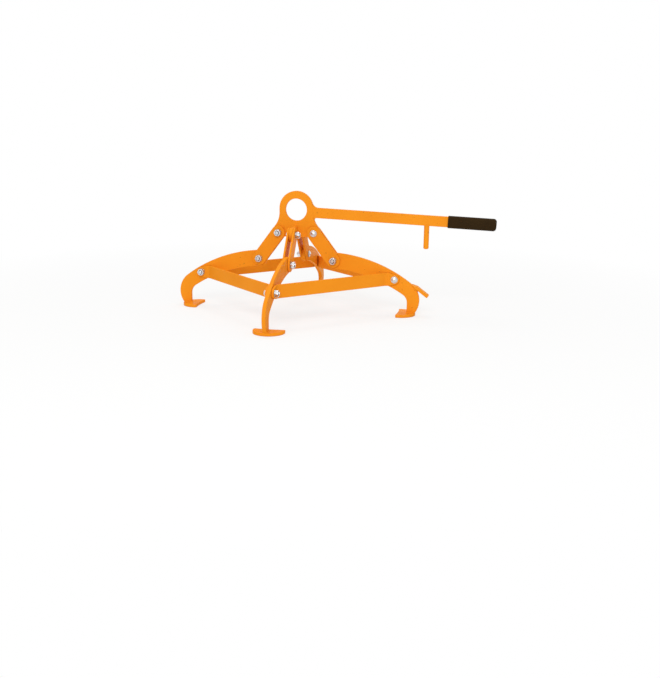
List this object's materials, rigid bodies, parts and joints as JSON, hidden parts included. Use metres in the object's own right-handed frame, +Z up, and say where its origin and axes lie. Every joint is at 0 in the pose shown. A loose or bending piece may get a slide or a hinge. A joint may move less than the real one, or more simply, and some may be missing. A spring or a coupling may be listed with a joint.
{
  "type": "drum lifter",
  "caption": "Below-hook drum lifter: a lifting eye pulls links and curved claw arms in a bar frame, so the claws close under a drum's rim; a lever with a grip guides it.",
  "frame": {"origin": "centre of the lifting eye", "axes": "+Z up when hung, +X along the lever, +Y to the rear, along the eye's axis"},
  "size_m": [0.8805, 0.6858, 0.3295],
  "materials": {
    "orange_paint": "semi-gloss enamel on cut steel plate",
    "zinc_fasteners": "bright zinc plate",
    "bush_steel": "turned",
    "grip_rubber": "matt moulded sleeve"
  },
  "bodies": {
    "head": {"lifting_plate": "orange_paint", "lug_front": "orange_paint", "lug_rear": "orange_paint", "lever_bar": "orange_paint", "hand_grip": "grip_rubber", "stop_pin": "orange_paint", "top_bolts": "zinc_fasteners", "top_nuts": "zinc_fasteners", "top_washers": "zinc_fasteners"},
    "frame": {"bar_rear_right": "orange_paint", "bar_rear_left": "orange_paint", "bar_front_left": "orange_paint", "bar_front_right": "orange_paint", "pivot_bolts": "zinc_fasteners", "pivot_nuts": "zinc_fasteners", "pivot_washers": "zinc_fasteners", "pivot_bushes": "bush_steel"},
    "right_claw": {"arm_right": "orange_paint", "foot_right": "orange_paint", "toggle_bolt_right": "zinc_fasteners", "toggle_nut_right": "zinc_fasteners", "toggle_washers_right": "zinc_fasteners", "stop_tab": "orange_paint"},
    "right_links": {"link_right_1": "orange_paint", "link_right_2": "orange_paint"},
    "rear_claw": {"arm_rear": "orange_paint", "foot_rear": "orange_paint", "toggle_bolt_rear": "zinc_fasteners", "toggle_nut_rear": "zinc_fasteners", "toggle_washers_rear": "zinc_fasteners"},
    "rear_links": {"link_rear_1": "orange_paint", "link_rear_2": "orange_paint"},
    "left_claw": {"arm_left": "orange_paint", "foot_left": "orange_paint", "toggle_bolt_left": "zinc_fasteners", "toggle_nut_left": "zinc_fasteners", "toggle_washers_left": "zinc_fasteners"},
    "left_links": {"link_left_1": "orange_paint", "link_left_2": "orange_paint"},
    "front_claw": {"arm_front": "orange_paint", "foot_front": "orange_paint", "toggle_bolt_front": "zinc_fasteners", "toggle_nut_front": "zinc_fasteners", "toggle_washers_front": "zinc_fasteners"},
    "front_links": {"link_front_1": "orange_paint", "link_front_2": "orange_paint"}
  },
  "joints": [
    {"name": "frame_lift", "type": "slide", "parent": "head", "child": "frame", "axis": [0, 0, 1], "range_m": [0, 0.0752]},
    {"name": "right_claw_swing", "type": "hinge", "parent": "frame", "child": "right_claw", "pos_m": [0.275, 0, -0.181], "axis": [0, -1, 0], "range_deg": [0, 26]},
    {"name": "right_link_swing", "type": "hinge", "parent": "head", "child": "right_links", "pos_m": [0.05, 0, -0.063], "axis": [0, 1, 0], "range_deg": [0, 3.9]},
    {"name": "rear_claw_swing", "type": "hinge", "parent": "frame", "child": "rear_claw", "pos_m": [0, 0.275, -0.181], "axis": [1, 0, 0], "range_deg": [0, 26]},
    {"name": "rear_link_swing", "type": "hinge", "parent": "head", "child": "rear_links", "pos_m": [0, 0.05, -0.063], "axis": [-1, 0, 0], "range_deg": [0, 3.9]},
    {"name": "left_claw_swing", "type": "hinge", "parent": "frame", "child": "left_claw", "pos_m": [-0.275, 0, -0.181], "axis": [0, 1, 0], "range_deg": [0, 26]},
    {"name": "left_link_swing", "type": "hinge", "parent": "head", "child": "left_links", "pos_m": [-0.05, 0, -0.063], "axis": [0, -1, 0], "range_deg": [0, 3.9]},
    {"name": "front_claw_swing", "type": "hinge", "parent": "frame", "child": "front_claw", "pos_m": [0, -0.275, -0.181], "axis": [-1, 0, 0], "range_deg": [0, 26]},
    {"name": "front_link_swing", "type": "hinge", "parent": "head", "child": "front_links", "pos_m": [0, -0.05, -0.063], "axis": [1, 0, 0], "range_deg": [0, 3.9]}
  ],
  "couplings": [
    {"joint": "right_claw_swing", "follows": "frame_lift", "rad_per_m": 6.0222},
    {"joint": "right_link_swing", "follows": "frame_lift", "rad_per_m": 0.897},
    {"joint": "rear_claw_swing", "follows": "frame_lift", "rad_per_m": 6.0222},
    {"joint": "rear_link_swing", "follows": "frame_lift", "rad_per_m": 0.897},
    {"joint": "left_claw_swing", "follows": "frame_lift", "rad_per_m": 6.0222},
    {"joint": "left_link_swing", "follows": "frame_lift", "rad_per_m": 0.897},
    {"joint": "front_claw_swing", "follows": "frame_lift", "rad_per_m": 6.0222},
    {"joint": "front_link_swing", "follows": "frame_lift", "rad_per_m": 0.897}
  ]
}
